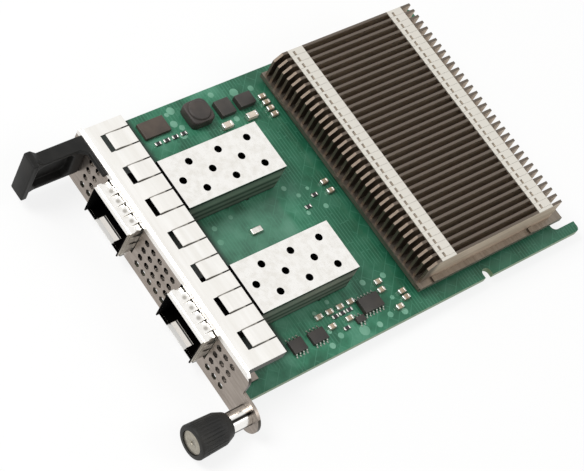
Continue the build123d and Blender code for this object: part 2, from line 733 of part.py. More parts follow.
# Screw: head flush in the knob's end, ring groove in the shank
with BuildPart() as thumbscrew_shank:
    groove_front = ring_front - ring_clearance
    groove_rear = ring_front + ring_thickness + ring_clearance
    for front, rear, radius, sides in ((head_front, head_rear, head_radius, knob_sides),
                                       (head_rear, groove_front, screw_radius, round_sides),
                                       (groove_front, groove_rear, groove_radius, round_sides),
                                       (groove_rear, screw_tip, screw_radius, round_sides)):
        with BuildSketch(screw_face.offset(front)):
            RegularPolygon(radius, sides)
        extrude(amount=rear - front)
    with BuildSketch(screw_face.offset(head_front)):
        RegularPolygon(drive_size / 2, 6)
    extrude(amount=drive_depth, mode=Mode.SUBTRACT)
keep(thumbscrew_shank, "thumbscrew_shank")

# Retaining ring in the screw's groove, which slides along inside the sleeve
with BuildPart() as retaining_ring:
    with BuildSketch(screw_face.offset(ring_front)):
        RegularPolygon(ring_radius, knob_sides)
        RegularPolygon(groove_radius + ring_clearance, knob_sides, major_radius=False, mode=Mode.SUBTRACT)
    extrude(amount=ring_thickness)
keep(retaining_ring, "retaining_ring")
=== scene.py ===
import json
import bmesh
import bpy
import numpy as np
from mathutils import Matrix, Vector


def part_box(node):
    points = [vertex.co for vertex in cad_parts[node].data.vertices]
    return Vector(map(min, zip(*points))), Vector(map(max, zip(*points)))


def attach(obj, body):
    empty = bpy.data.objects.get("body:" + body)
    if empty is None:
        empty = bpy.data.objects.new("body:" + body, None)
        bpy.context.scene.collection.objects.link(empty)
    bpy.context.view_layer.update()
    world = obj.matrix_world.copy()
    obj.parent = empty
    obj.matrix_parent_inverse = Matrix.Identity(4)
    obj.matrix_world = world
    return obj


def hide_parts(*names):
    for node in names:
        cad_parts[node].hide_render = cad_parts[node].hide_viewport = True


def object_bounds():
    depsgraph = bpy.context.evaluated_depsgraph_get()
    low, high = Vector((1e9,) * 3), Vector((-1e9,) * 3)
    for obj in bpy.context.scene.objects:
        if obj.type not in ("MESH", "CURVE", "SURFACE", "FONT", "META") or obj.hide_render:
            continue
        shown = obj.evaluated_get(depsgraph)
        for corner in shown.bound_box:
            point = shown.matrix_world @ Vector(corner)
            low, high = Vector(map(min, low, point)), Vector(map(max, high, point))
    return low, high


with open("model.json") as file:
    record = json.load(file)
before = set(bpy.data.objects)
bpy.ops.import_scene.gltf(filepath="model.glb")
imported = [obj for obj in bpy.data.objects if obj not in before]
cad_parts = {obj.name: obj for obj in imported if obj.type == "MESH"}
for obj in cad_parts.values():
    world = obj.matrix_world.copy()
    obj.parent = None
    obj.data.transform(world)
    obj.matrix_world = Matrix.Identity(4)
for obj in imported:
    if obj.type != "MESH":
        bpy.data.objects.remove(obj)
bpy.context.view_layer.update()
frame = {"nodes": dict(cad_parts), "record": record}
nodes = frame["nodes"]
mm = 0.001
faraway = 500.0  # mm, past the card on any side
screwAxis = (40.9, 0.7)  # X and Z of the thumbscrew's axis, mm
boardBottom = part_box("circuit_board")[0][2] / mm
cageSpots = [(low[0] + high[0]) / 2 / mm for low, high in map(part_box, ("port_cage_far", "port_cage_near"))]
cageFolds = (sum(cageSpots) / 2, (cageSpots[1] - cageSpots[0]) / 2)  # their middle, and half their spacing
black, white = (0, 0, 0, 1), (1, 1, 1, 1)
print("frame loaded:", len(nodes), "nodes")


# sRGB hex to linear light
def linear(hexCode):
    srgb = np.array([int(hexCode[i:i + 2], 16) for i in (1, 3, 5)]) / 255
    return (*np.where(srgb <= 0.04045, srgb / 12.92, ((srgb + 0.055) / 1.055) ** 2.4), 1.0)


# a link from a socket, or from a node's first live output
def wire(tree, source, target):
    if isinstance(source, bpy.types.Node):
        source = next(output for output in source.outputs if output.enabled)
    tree.links.new(source, target)


# one node with its settings, socket values and links, and a colour ramp's stops as {position: hex}
def addNode(tree, kind, props=None, values=None, links=None, stops=None):
    node = tree.nodes.new("ShaderNode" + kind)
    for name, value in (props or {}).items():
        setattr(node, name, value)
    for socket, value in (values or {}).items():
        node.inputs[socket].default_value = value
    for socket, source in (links or {}).items():
        wire(tree, source, node.inputs[socket])
    if stops:
        ramp = node.color_ramp.elements
        while len(ramp) < len(stops):
            ramp.new(0.5)
        for element, (position, hexCode) in zip(ramp, sorted(stops.items())):
            element.position = position
            element.color = linear(hexCode)
    return node


# a material with its constant values straight on the shader, and its Object coordinates
def newMaterial(name, **values):
    material = bpy.data.materials.new(name)
    material.use_nodes = True
    tree = material.node_tree
    shader = tree.nodes["Principled BSDF"]
    for socket, value in values.items():
        shader.inputs[socket.replace("_", " ")].default_value = value
    where = addNode(tree, "TexCoord").outputs["Object"]
    return material, tree, shader, where


# what a second coat needs of a finished material: its tree, its base colour and its coordinates by axis
def reopen(material):
    tree = material.node_tree
    where = addNode(tree, "TexCoord").outputs["Object"]
    split = addNode(tree, "SeparateXYZ", links={"Vector": where})
    return tree, tree.nodes["Principled BSDF"].inputs["Base Color"], split


# a distance folded about one centre after another, in mm: value = |value - centre|
def foldAbout(tree, value, *centres):
    for centre in centres:
        value = addNode(tree, "Math", {"operation": "SUBTRACT"}, {1: centre * mm}, {0: value})
        value = addNode(tree, "Math", {"operation": "ABSOLUTE"}, links={0: value})
    return value


# box-shaped mask: 1 between limits in mm, given as X=(low, high) and so on, and 0 outside
def zone(tree, split, **limits):
    mask = None
    for axis, (low, high) in limits.items():
        side = addNode(tree, "Math", {"operation": "COMPARE"},
                       {1: (low + high) / 2 * mm, 2: (high - low) / 2 * mm}, {0: split.outputs[axis]})
        mask = addNode(tree, "Math", {"operation": "MULTIPLY"}, links={0: mask, 1: side}) if mask else side
    return mask


def assign(material, *names):
    for name in names:
        nodes[name].data.materials.clear()
        nodes[name].data.materials.append(material)


# Materials
def solderMaskMaterial():
    # glass-epoxy board under green solder mask: satin green, paler over copper pours, with faint raised
    # tracks;
    # painted shade, near black, under and just behind the faceplate's flange, and painted shadow darkening it
    # towards the heat sink; the sawn edge shows yellowish laminate
    look = {"mask": "#2c7154", "dark": "#1c573e", "pour": "#4a866c", "flangeShade": "#07150e", "between": "#5f8d78",
            "track": "#5b9a80", "edge": "#66805a", "patch": 7.0, "patchDetail": 5.0,
            "trackPitch": 0.9, "trackRun": 9.0, "trackLine": 0.14, "trackSoft": 0.2,
            "slantPitch": 2.7, "slantRun": 6.0, "slantLine": 0.1, "slant": np.pi / 4,
            "areasPerMetre": 90.0, "areaEdge": (0.46, 0.54), "trackShow": 0.3, "trackBump": 0.25,
            "trackDepth": 0.05, "flangeShadeX": (-41.0, 33.6), "flangeShadeY": (-1.0, 21.2), "gapX": (-5.6, 8.8),
            "gapY": (14.0, 43.0), "soft": 2.2, "sinkY": (44.5, 50.0), "sinkShadeShare": 0.6, "levelNormal": 0.5}
    material, tree, shader, where = newMaterial("solderMaskOnGlassEpoxy", Roughness=0.42,
                                                Specular_IOR_Level=0.45)
    split = addNode(tree, "SeparateXYZ", links={"Vector": where})
    patch = addNode(tree, "TexNoise", values={"Scale": 1 / look["patch"] / mm, "Detail": look["patchDetail"]},
                    links={"Vector": where})
    base = addNode(tree, "ValToRGB", links={"Fac": patch},
                   stops={0.38: look["dark"], 0.5: look["mask"], 0.66: look["pour"]})
    # soft-edged areas: a paler patch between the ports, and painted shade under and just behind the
    # faceplate's flange
    areas = {}
    for name in ("gap", "flangeShade"):
        sides = []
        for axis in "XY":
            low, high = look[name + axis]
            half = (high - low) / 2
            away = foldAbout(tree, split.outputs[axis], (low + high) / 2)
            sides.append(addNode(tree, "MapRange", {"interpolation_type": "SMOOTHSTEP"},
                                 {"From Min": half * mm, "From Max": (half - look["soft"]) * mm},
                                 {"Value": away}))
        areas[name] = addNode(tree, "Math", {"operation": "MULTIPLY"}, links=dict(enumerate(sides)))
    cloudy = addNode(tree, "Math", {"operation": "MULTIPLY"}, links={0: areas["gap"], 1: patch})
    # painted shadow of the heat sink: darker towards it
    start, end = look["sinkY"]
    sinkShade = addNode(tree, "MapRange", {"interpolation_type": "SMOOTHSTEP"},
                     {"From Min": start * mm, "From Max": end * mm, "To Max": look["sinkShadeShare"]},
                     {"Value": split.outputs["Y"]})
    # tracks: long runs along X in some areas, slanting in others
    lined = {"Scale": 1 / mm, "Color1": black, "Color2": black, "Mortar": white}
    tracks = addNode(tree, "TexBrick", {"offset": 0.37, "squash": 1.6, "squash_frequency": 3},
                     {**lined, "Mortar Size": look["trackLine"], "Mortar Smooth": look["trackSoft"],
                      "Brick Width": look["trackRun"], "Row Height": look["trackPitch"]}, {"Vector": where})
    turned = addNode(tree, "Mapping", values={"Rotation": (0, 0, look["slant"])}, links={"Vector": where})
    slants = addNode(tree, "TexBrick", {"offset": 0.5},
                     {**lined, "Mortar Size": look["slantLine"], "Brick Width": look["slantRun"],
                      "Row Height": look["slantPitch"]}, {"Vector": turned})
    area = addNode(tree, "TexNoise", values={"Scale": look["areasPerMetre"], "Detail": 1.0},
                   links={"Vector": where})
    low, high = look["areaEdge"]
    areaStep = addNode(tree, "MapRange", values={"From Min": low, "From Max": high}, links={"Value": area})
    lines = addNode(tree, "Mix", {"data_type": "RGBA"}, links={"Factor": areaStep, "A": tracks, "B": slants})
    faint = addNode(tree, "Math", {"operation": "MULTIPLY"}, {1: look["trackShow"]}, {0: lines})
    facing = addNode(tree, "NewGeometry")
    normal = addNode(tree, "SeparateXYZ", links={"Vector": facing.outputs["True Normal"]})
    level = addNode(tree, "Math", {"operation": "ABSOLUTE"}, links={0: normal.outputs["Z"]})
    onEdge = addNode(tree, "Math", {"operation": "LESS_THAN"}, {1: look["levelNormal"]}, {0: level})
    for coat, mask in (("between", cloudy), ("dark", sinkShade), ("track", faint), ("flangeShade", areas["flangeShade"]),
                       ("edge", onEdge)):
        base = addNode(tree, "Mix", {"data_type": "RGBA"}, {"B": linear(look[coat])},
                       {"A": base, "Factor": mask})
    wire(tree, base, shader.inputs["Base Color"])
    bump = addNode(tree, "Bump", values={"Strength": look["trackBump"], "Distance": look["trackDepth"] * mm},
                   links={"Height": lines})
    wire(tree, bump, shader.inputs["Normal"])
    return material


def sheetMetalMaterial(name, pale, dark, roughness, grain, stretch, bumpDepth):
    # rolled or plated metal: fine lines along X and a cloudy change of tone
    look = {"detail": 4.0, "darkAt": 0.3, "paleAt": 0.7, "smoother": 0.06, "rougher": 0.08, "bump": 0.2}
    material, tree, shader, where = newMaterial(name, Metallic=1.0)
    lay = addNode(tree, "Mapping", values={"Scale": (1 / stretch, 1.0, 1.0)}, links={"Vector": where})
    lines = addNode(tree, "TexNoise", values={"Scale": 1 / grain / mm, "Detail": look["detail"]},
                    links={"Vector": lay})
    tone = addNode(tree, "ValToRGB", links={"Fac": lines},
                   stops={look["darkAt"]: dark, look["paleAt"]: pale})
    wire(tree, tone, shader.inputs["Base Color"])
    sheen = addNode(tree, "MapRange", values={"To Min": roughness - look["smoother"],
                                              "To Max": roughness + look["rougher"]}, links={"Value": lines})
    wire(tree, sheen, shader.inputs["Roughness"])
    bump = addNode(tree, "Bump", values={"Strength": look["bump"], "Distance": bumpDepth * mm},
                   links={"Height": lines})
    wire(tree, bump, shader.inputs["Normal"])
    return material


def plateMaterial():
    # nickel-plated folded steel: warm grey front with fine rolling lines; a painted highlight along its top
    # fold and a painted light patch below the ports; painted shade on the folded-down ends, in a strip along
    # the opening of each port and where the finger strip covers the flange
    look = {"pale": "#a99f96", "dark": "#8d837a", "top": "#f1eee9", "end": "#4a4641", "underShade": "#181716",
            "litSill": "#e6e1da", "roughness": 0.36, "grain": 0.9, "stretch": 8.0, "bumpDepth": 0.012,
            "stripFront": 1.3, "stripBottom": 11.5, "fold": 10.1, "sillTop": -1.3, "sillHalf": (6.8, 4.8),
            "endNormal": 0.7}
    material = sheetMetalMaterial("nickelPlatedSteelSheet", look["pale"], look["dark"], look["roughness"],
                                  look["grain"], look["stretch"], look["bumpDepth"])
    tree, colour, split = reopen(material)
    # painted shade on faces turned along X, the folded-down ends
    facing = addNode(tree, "NewGeometry")
    normal = addNode(tree, "SeparateXYZ", links={"Vector": facing.outputs["True Normal"]})
    sideways = addNode(tree, "Math", {"operation": "ABSOLUTE"}, links={0: normal.outputs["X"]})
    endShade = addNode(tree, "Math", {"operation": "GREATER_THAN"}, {1: look["endNormal"]}, {0: sideways})
    # painted highlight along the top fold
    foldHighlight = zone(tree, split, Z=(look["fold"], faraway))
    # painted shade where the finger strip covers the flange
    stripShade = zone(tree, split, Y=(look["stripFront"], faraway), Z=(look["stripBottom"], faraway))
    # below each port: painted shade in a strip along the opening, then a painted light patch down to the
    # lower edge
    start, end = look["sillHalf"]
    under = addNode(tree, "MapRange", {"interpolation_type": "SMOOTHSTEP"},
                    {"From Min": start * mm, "From Max": end * mm},
                    {"Value": foldAbout(tree, split.outputs["X"], *cageFolds)})
    portShadeStrip, patch = (addNode(tree, "Math", {"operation": "MULTIPLY"},
                            links={0: under, 1: zone(tree, split, Z=(-faraway, top))})
                    for top in (0.0, look["sillTop"]))
    tone = colour.links[0].from_socket
    for coat, mask in (("top", foldHighlight), ("underShade", portShadeStrip), ("litSill", patch), ("end", endShade),
                       ("underShade", stripShade)):
        tone = addNode(tree, "Mix", {"data_type": "RGBA"}, {"B": linear(look[coat])},
                       {"A": tone, "Factor": mask})
    wire(tree, tone, colour)
    return material


def fingerStripMaterial():
    # bright rolled spring steel with a grey shadow along both sheared sides of every finger
    look = {"line": "#8a857d", "first": -28.74, "pitch": 9.53, "half": 2.4, "soft": (0.3, 0.08), "front": 5.0}
    material = sheetMetalMaterial("brightSpringSteelStrip", "#f6f4f0", "#eeebe5", 0.3, 1.4, 10.0, 0.006)
    tree, colour, split = reopen(material)
    low = (look["first"] - look["pitch"] / 2) * mm
    along = addNode(tree, "Math", {"operation": "WRAP"}, {1: low + look["pitch"] * mm, 2: low},
                    {0: split.outputs["X"]})
    start, end = look["soft"]
    beside = addNode(tree, "MapRange", {"interpolation_type": "SMOOTHSTEP"},
                     {"From Min": start * mm, "From Max": end * mm},
                     {"Value": foldAbout(tree, along, look["first"], look["half"])})
    share = addNode(tree, "Math", {"operation": "MULTIPLY"},
                    links={0: beside, 1: zone(tree, split, Y=(look["front"], faraway))})
    lined = addNode(tree, "Mix", {"data_type": "RGBA"}, {"B": linear(look["line"])},
                    {"A": colour.links[0].from_socket, "Factor": share})
    wire(tree, lined, colour)
    return material


def cageMaterial():
    # tin-plated sheet: bright on top; painted shade and reflection on the upright faces, as a plain grey and,
    # behind the faceplate, grey bands by height; painted shade, near black and rough, on its inside, front
    # rim, the strip under the flange and the corners of the collar's lower lip; painted light, pale and not
    # metallic, across that lip at the floor's notch; and a grey spot of painted shade on each finger of the
    # collar
    look = {"pale": "#f4f2ee", "cloud": "#e9e6e0", "plainSideShade": "#c6c1b8", "paintedShade": "#0b0a09",
            "dimpleShade": "#b5b1aa", "grain": 1.5, "detail": 3.0, "bump": 0.12, "bumpDepth": 0.01,
            "innerHalf": 6.83, "inner": (0.47, 9.62), "mouthRear": -4.1, "rearSkin": 0.05,
            "flangeY": (1.0, 13.75), "lipTop": 0.4, "lipRear": -1.9, "sillHalf": 3.55, "plateY": 0.6,
            "dimpleY": -1.3, "dimplePitch": 2.9, "dimpleRadius": (0.75, 0.25), "levelNormal": 0.5,
            "brightRoughness": 0.27, "dullRoughness": 0.8, "sideMatt": 0.18,
            "sideShadeBands": {0.04: "#5a5b55", 0.16: "#a8a69c", 0.27: "#4b4c46", 0.4: "#a8a69c", 0.52: "#4b4c46",
                          0.66: "#b3b0a6", 0.85: "#9a988f", 0.94: "#161614"}}
    material, tree, shader, where = newMaterial("tinPlatedCageSheet")
    split = addNode(tree, "SeparateXYZ", links={"Vector": where})
    aside = foldAbout(tree, split.outputs["X"], *cageFolds)
    within, central = (addNode(tree, "Math", {"operation": "LESS_THAN"}, {1: half * mm}, {0: aside})
                       for half in (look["innerHalf"], look["sillHalf"]))
    floor, roof = look["inner"]
    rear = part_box("port_cage_far")[1][1] / mm - look["rearSkin"]
    # painted shade, near black: inside each cage, on its front rim and on the strip under the flange
    inside = addNode(tree, "Math", {"operation": "MULTIPLY"},
                     links={0: within, 1: zone(tree, split, Y=(-faraway, rear), Z=(floor, roof))})
    rimShade = zone(tree, split, Y=(-faraway, look["mouthRear"]), Z=(-faraway, roof))
    underShade = zone(tree, split, Y=look["flangeY"])
    # the collar's lower lip: painted shade at the corners, painted light across the notch in the cage's floor
    lip = zone(tree, split, Y=(-faraway, look["lipRear"]), Z=(-faraway, look["lipTop"]))
    paintedShade = inside
    for mask in (rimShade, underShade, lip):
        paintedShade = addNode(tree, "Math", {"operation": "MAXIMUM"}, links={0: paintedShade, 1: mask})
    litSill = addNode(tree, "Math", {"operation": "MULTIPLY"}, links={0: central, 1: lip})
    cloud = addNode(tree, "TexNoise", values={"Scale": 1 / look["grain"] / mm, "Detail": look["detail"]},
                    links={"Vector": where})
    tone = addNode(tree, "ValToRGB", links={"Fac": cloud},
                   stops={0.3: look["cloud"], 0.6: look["pale"]})
    # painted shade and reflection: grey bands by height on the sides behind the faceplate, a plain grey on
    # the other upright faces
    facing = addNode(tree, "NewGeometry")
    normal = addNode(tree, "SeparateXYZ", links={"Vector": facing.outputs["True Normal"]})
    level, lateral = (addNode(tree, "Math", {"operation": "ABSOLUTE"}, links={0: normal.outputs[axis]})
                      for axis in "ZX")
    upright = addNode(tree, "Math", {"operation": "LESS_THAN"}, {1: look["levelNormal"]}, {0: level})
    onSide = addNode(tree, "Math", {"operation": "MULTIPLY"},
                     links={0: upright, 1: zone(tree, split, Z=(-faraway, roof))})
    height = addNode(tree, "MapRange", values={"From Max": roof * mm}, links={"Value": split.outputs["Z"]})
    bands = addNode(tree, "ValToRGB", links={"Fac": height}, stops=look["sideShadeBands"])
    banded = addNode(tree, "Math", {"operation": "MULTIPLY"},
                     links={0: lateral, 1: zone(tree, split, Y=(look["plateY"], faraway))})
    sideShadeTone = addNode(tree, "Mix", {"data_type": "RGBA"}, {"A": linear(look["plainSideShade"])},
                       {"B": bands, "Factor": banded})
    coloured = addNode(tree, "Mix", {"data_type": "RGBA"}, links={"A": tone, "B": sideShadeTone, "Factor": onSide})
    # painted shade of pressed dimples: grey spots, one pitch apart on both sides of a cage's middle
    pitch = look["dimplePitch"] * mm
    off = addNode(tree, "Math", {"operation": "WRAP"}, {1: pitch, 2: 0.0}, {0: aside})
    off = addNode(tree, "Math", {"operation": "SUBTRACT"}, {1: pitch / 2}, {0: off})
    back = foldAbout(tree, split.outputs["Y"], look["dimpleY"])
    apart = addNode(tree, "CombineXYZ", links={0: off, 1: back})
    apart = addNode(tree, "VectorMath", {"operation": "LENGTH"}, links={0: apart})
    start, end = look["dimpleRadius"]
    dimpleShade = addNode(tree, "MapRange", {"interpolation_type": "SMOOTHSTEP"},
                     {"From Min": start * mm, "From Max": end * mm}, {"Value": apart})
    for coat, mask in (("dimpleShade", dimpleShade), ("paintedShade", paintedShade), ("pale", litSill)):
        coloured = addNode(tree, "Mix", {"data_type": "RGBA"}, {"B": linear(look[coat])},
                           {"A": coloured, "Factor": mask})
    wire(tree, coloured, shader.inputs["Base Color"])
    # the painted light across the lip is pale and not metallic
    metal = addNode(tree, "Math", {"operation": "SUBTRACT"}, {0: 1.0}, {1: litSill})
    wire(tree, metal, shader.inputs["Metallic"])
    gloss = addNode(tree, "MapRange", values={"To Min": look["brightRoughness"],
                                              "To Max": look["dullRoughness"]}, links={"Value": paintedShade})
    gloss = addNode(tree, "Math", {"operation": "MULTIPLY_ADD"}, {1: look["sideMatt"]}, {0: onSide, 2: gloss})
    wire(tree, gloss, shader.inputs["Roughness"])
    bump = addNode(tree, "Bump", values={"Strength": look["bump"], "Distance": look["bumpDepth"] * mm},
                   links={"Height": cloud})
    wire(tree, bump, shader.inputs["Normal"])
    return material


def finMaterial():
    # stamped aluminium fins: dull warm grey sheet with lengthwise streaks, darker along the fin tops and
    # towards the front, and a painted highlight on the lock tabs on top
    look = {"side": "#c4b5a3", "sideDark": "#ad9d8c", "top": "#6c635a", "front": "#6f6459", "bar": "#d6d2c9",
            "bars": ((63.2, 68.0), (96.9, 101.7)), "barBottom": 10.6, "topBottom": 10.9,
            "frontRear": (63.5, 61.0), "streak": 0.8, "stretch": 12.5, "bump": 0.2, "bumpDepth": 0.02}
    material, tree, shader, where = newMaterial("stampedAluminiumFins", Metallic=1.0, Roughness=0.5)
    split = addNode(tree, "SeparateXYZ", links={"Vector": where})
    lay = addNode(tree, "Mapping", values={"Scale": (1.0, 1 / look["stretch"], 1.0)}, links={"Vector": where})
    streak = addNode(tree, "TexNoise", values={"Scale": 1 / look["streak"] / mm, "Detail": 3.0},
                     links={"Vector": lay})
    tone = addNode(tree, "ValToRGB", links={"Fac": streak},
                   stops={0.3: look["sideDark"], 0.7: look["side"]})
    onTop = zone(tree, split, Z=(look["topBottom"], faraway))
    start, end = look["frontRear"]
    toFront = addNode(tree, "MapRange", {"interpolation_type": "SMOOTHSTEP"},
                      {"From Min": start * mm, "From Max": end * mm}, {"Value": split.outputs["Y"]})
    # painted highlight: the lock tabs paler than the same aluminium
    bars = [zone(tree, split, Y=bar, Z=(look["barBottom"], faraway)) for bar in look["bars"]]
    barHighlight = addNode(tree, "Math", {"operation": "MAXIMUM"}, links=dict(enumerate(bars)))
    for coat, mask in (("top", onTop), ("front", toFront), ("bar", barHighlight)):
        tone = addNode(tree, "Mix", {"data_type": "RGBA"}, {"B": linear(look[coat])},
                       {"A": tone, "Factor": mask})
    wire(tree, tone, shader.inputs["Base Color"])
    bump = addNode(tree, "Bump", values={"Strength": look["bump"], "Distance": look["bumpDepth"] * mm},
                   links={"Height": streak})
    wire(tree, bump, shader.inputs["Normal"])
    return material


def sleeveMaterial():
    # polished turned steel: bright, with a painted reflection of five dark lengthwise streaks round it, and
    # fine turning lines
    look = {"bright": "#f2f0ec", "streak": "#1f1d1b", "reflectionStreaks": 5, "phase": 545.0, "turning": 1.5708,
            "unevenness": 0.6, "bump": 0.12, "bumpDepth": 0.01}
    material, tree, shader, where = newMaterial("polishedTurnedSteel", Metallic=1.0, Roughness=0.2)
    split = addNode(tree, "SeparateXYZ", links={"Vector": where})
    sides = [addNode(tree, "Math", {"operation": "SUBTRACT"}, {1: centre * mm}, {0: split.outputs[axis]})
             for axis, centre in zip("XZ", screwAxis)]
    # painted reflection: dark streaks set by the angle round the screw's axis
    angle = addNode(tree, "Math", {"operation": "ARCTAN2"}, links={0: sides[1], 1: sides[0]})
    wave = addNode(tree, "Math", {"operation": "MULTIPLY_ADD"},
                   {1: look["reflectionStreaks"], 2: -np.radians(look["phase"])}, {0: angle})
    wave = addNode(tree, "Math", {"operation": "COSINE"}, links={0: wave})
    share = addNode(tree, "MapRange", values={"From Min": -1.0}, links={"Value": wave})
    tone = addNode(tree, "ValToRGB", links={"Fac": share},
                   stops={0.06: look["streak"], 0.3: look["bright"]})
    wire(tree, tone, shader.inputs["Base Color"])
    perScale = 2 * np.pi / 20  # length of one wave of the texture at scale 1
    rings = addNode(tree, "TexWave", {"wave_type": "BANDS", "bands_direction": "Y"},
                    {"Scale": perScale / look["turning"] / mm, "Distortion": look["unevenness"]},
                    {"Vector": where})
    bump = addNode(tree, "Bump", values={"Strength": look["bump"], "Distance": look["bumpDepth"] * mm},
                   links={"Height": rings.outputs["Fac"]})
    wire(tree, bump, shader.inputs["Normal"])
    return material


def mouldedMaterial(name, colour, worn, roughness, grit, bumpDepth, gloss=0.5):
    # moulded plastic, epoxy or ceramic: fine spark-eroded grain, slightly paler where it is rubbed
    look = {"detail": 2.0, "rubbed": 4.0, "colourAt": 0.35, "wornAt": 0.75, "bump": 0.35}
    material, tree, shader, where = newMaterial(name, Roughness=roughness, Specular_IOR_Level=gloss)
    grain, cloud = (addNode(tree, "TexNoise", values={"Scale": 1 / size / mm, "Detail": look["detail"]},
                            links={"Vector": where}) for size in (grit, look["rubbed"]))
    tone = addNode(tree, "ValToRGB", links={"Fac": cloud},
                   stops={look["colourAt"]: colour, look["wornAt"]: worn})
    wire(tree, tone, shader.inputs["Base Color"])
    bump = addNode(tree, "Bump", values={"Strength": look["bump"], "Distance": bumpDepth * mm},
                   links={"Height": grain})
    wire(tree, bump, shader.inputs["Normal"])
    return material


solderMask = solderMaskMaterial()
cageTin = cageMaterial()
finSheet = finMaterial()
sleeveSteel = sleeveMaterial()
faceSteel = plateMaterial()
springSteel = fingerStripMaterial()
# pale and dark tone, roughness, grain in mm, its stretch along X and the bump's depth in mm
crystalCan = sheetMetalMaterial("drawnCrystalCan", "#efece6", "#dcd8d0", 0.28, 0.8, 2.0, 0.006)
screwSteel = sheetMetalMaterial("zincPlatedScrewSteel", "#c9c4ba", "#aca69b", 0.36, 0.6, 2.0, 0.01)
baseAluminium = sheetMetalMaterial("milledAluminium", "#8d8479", "#766d63", 0.45, 0.7, 10.0, 0.015)
webAluminium = sheetMetalMaterial("pressedAluminiumWeb", "#948b81", "#7d746a", 0.45, 0.6, 6.0, 0.01)
goldFlash = sheetMetalMaterial("goldFlashedCopper", "#e9c46c", "#d8ae55", 0.26, 0.8, 4.0, 0.006)
solderTin = sheetMetalMaterial("reflowedSolder", "#e2e1dc", "#c6c4bd", 0.3, 0.7, 1.0, 0.02)
headSteel = sheetMetalMaterial("turnedScrewHeadSteel", "#b0ab9e", "#969084", 0.4, 0.5, 1.0, 0.012)
leadTin = sheetMetalMaterial("tinnedCopperLead", "#9aa096", "#7e857b", 0.38, 0.4, 1.0, 0.01)
# tone, rubbed tone, roughness, grit in mm, the bump's depth in mm and the gloss
tabNylon = mouldedMaterial("mouldedBlackNylon", "#161615", "#22211f", 0.55, 0.25, 0.02, 0.2)
knobNylon = mouldedMaterial("mouldedKnobNylon", "#1c1c1b", "#2a2926", 0.52, 0.25, 0.02, 0.25)
chipEpoxy = mouldedMaterial("mouldedChipEpoxy", "#2b2825", "#3c3732", 0.5, 0.18, 0.012)
regulatorEpoxy = mouldedMaterial("brownChipEpoxy", "#3b322b", "#4d4239", 0.5, 0.18, 0.012)
inductorPowder = mouldedMaterial("pressedIronPowder", "#2f2a27", "#453d38", 0.6, 0.3, 0.03)
socketPolymer = mouldedMaterial("mouldedSocketPolymer", "#0b0b0b", "#121212", 0.75, 0.2, 0.012, 0.15)
insulatorFilm = mouldedMaterial("blackPolycarbonateFilm", "#1a1a1a", "#242423", 0.34, 0.6, 0.008)
capCeramic = mouldedMaterial("firedCapacitorCeramic", "#9c8a74", "#b5a48d", 0.45, 0.2, 0.01)
filmCapBody = mouldedMaterial("paleCapacitorCeramic", "#cdbfae", "#dcd0c1", 0.42, 0.2, 0.01)
resistorGlaze = mouldedMaterial("glazedResistorFilm", "#1d1d1e", "#2a2a2b", 0.3, 0.2, 0.006)
maskedPad = mouldedMaterial("solderMaskOverCopperPad", "#5f977d", "#7bad95", 0.35, 0.3, 0.006)
thermalSilicone = mouldedMaterial("siliconeThermalPad", "#8d979b", "#9ca6a9", 0.75, 0.3, 0.02)

assign(solderMask, "circuit_board")
assign(insulatorFilm, "bottom_insulator")
assign(faceSteel, "faceplate")
assign(springSteel, "top_spring_fingers")
assign(cageTin, "port_cage_far", "port_cage_near", "port_collar_far", "port_collar_near")
assign(crystalCan, "crystal")
assign(socketPolymer, "port_connector_far", "port_connector_near")
assign(goldFlash, "connector_contacts_far", "connector_contacts_near")
assign(screwSteel, "foot_screws", "heat_sink_screws", "pull_tab_screws", "retaining_ring", "thumbscrew_shank")
assign(sleeveSteel, "thumbscrew_sleeve")
assign(baseAluminium, "heat_sink_base")
assign(finSheet, "fin_stack")
assign(chipEpoxy, "controller_chip", "driver_chips", "memory_chip", "logic_chips")
assign(regulatorEpoxy, "regulator_chip")
assign(inductorPowder, "power_inductor")
assign(thermalSilicone, "thermal_pad")
assign(filmCapBody, "film_capacitors")
assign(capCeramic, "ceramic_capacitors")
assign(resistorGlaze, "chip_resistors")
assign(tabNylon, "pull_tab")
assign(knobNylon, "thumbscrew_knob")
print("materials made and assigned")


# New pieces
def placePiece(name, mesh, body, material, replaced=()):
    piece = bpy.data.objects.new(name, mesh)
    bpy.context.scene.collection.objects.link(piece)
    mesh.materials.clear()
    mesh.materials.append(material)
    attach(piece, body)
    if replaced:
        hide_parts(*replaced)
    return piece


# closed shells from grids of points in mm (copies, rows, columns, 3): columns join up, and the first and last
# rows are closed by flat caps, or join up too; the sign of the volume says which way the faces turn
def gridMesh(name, grids, joinRows=False, sharpAngle=40):
    copies, rows, columns = grids.shape[:3]
    index = np.arange(copies * rows * columns).reshape(copies, rows, columns)
    lower, upper = (index, np.roll(index, -1, 1)) if joinRows else (index[:, :-1], index[:, 1:])
    quads = np.stack([lower, np.roll(lower, -1, 2), np.roll(upper, -1, 2), upper], -1)
    points = grids.reshape(-1, 3)
    first = points[quads[0].reshape(-1, 4)] - grids[0].reshape(-1, 3).mean(0)
    turn = np.cross(first[:, 2] - first[:, 0], first[:, 3] - first[:, 1])
    inward = np.einsum("ij,ij->i", first.mean(1), turn).sum() < 0
    faces = quads.reshape(-1, 4).tolist()
    if not joinRows:
        faces += index[:, 0, ::-1].tolist() + index[:, -1].tolist()
    if inward:
        faces = [face[::-1] for face in faces]
    mesh = bpy.data.meshes.new(name)
    mesh.from_pydata((points * mm).tolist(), [], faces)
    mesh.polygons.foreach_set("use_smooth", np.ones(len(mesh.polygons), bool))
    mesh.set_sharp_from_angle(angle=np.radians(sharpAngle))
    return mesh


# rounded blocks: superellipsoid x = a c(u)^e c(v)^e, y = b c(u)^e s(v)^e, z = h s(u)^e with signed powers
blocks = {"rows": (-1.3, -0.6, 0.6, 1.3), "columns": 12}


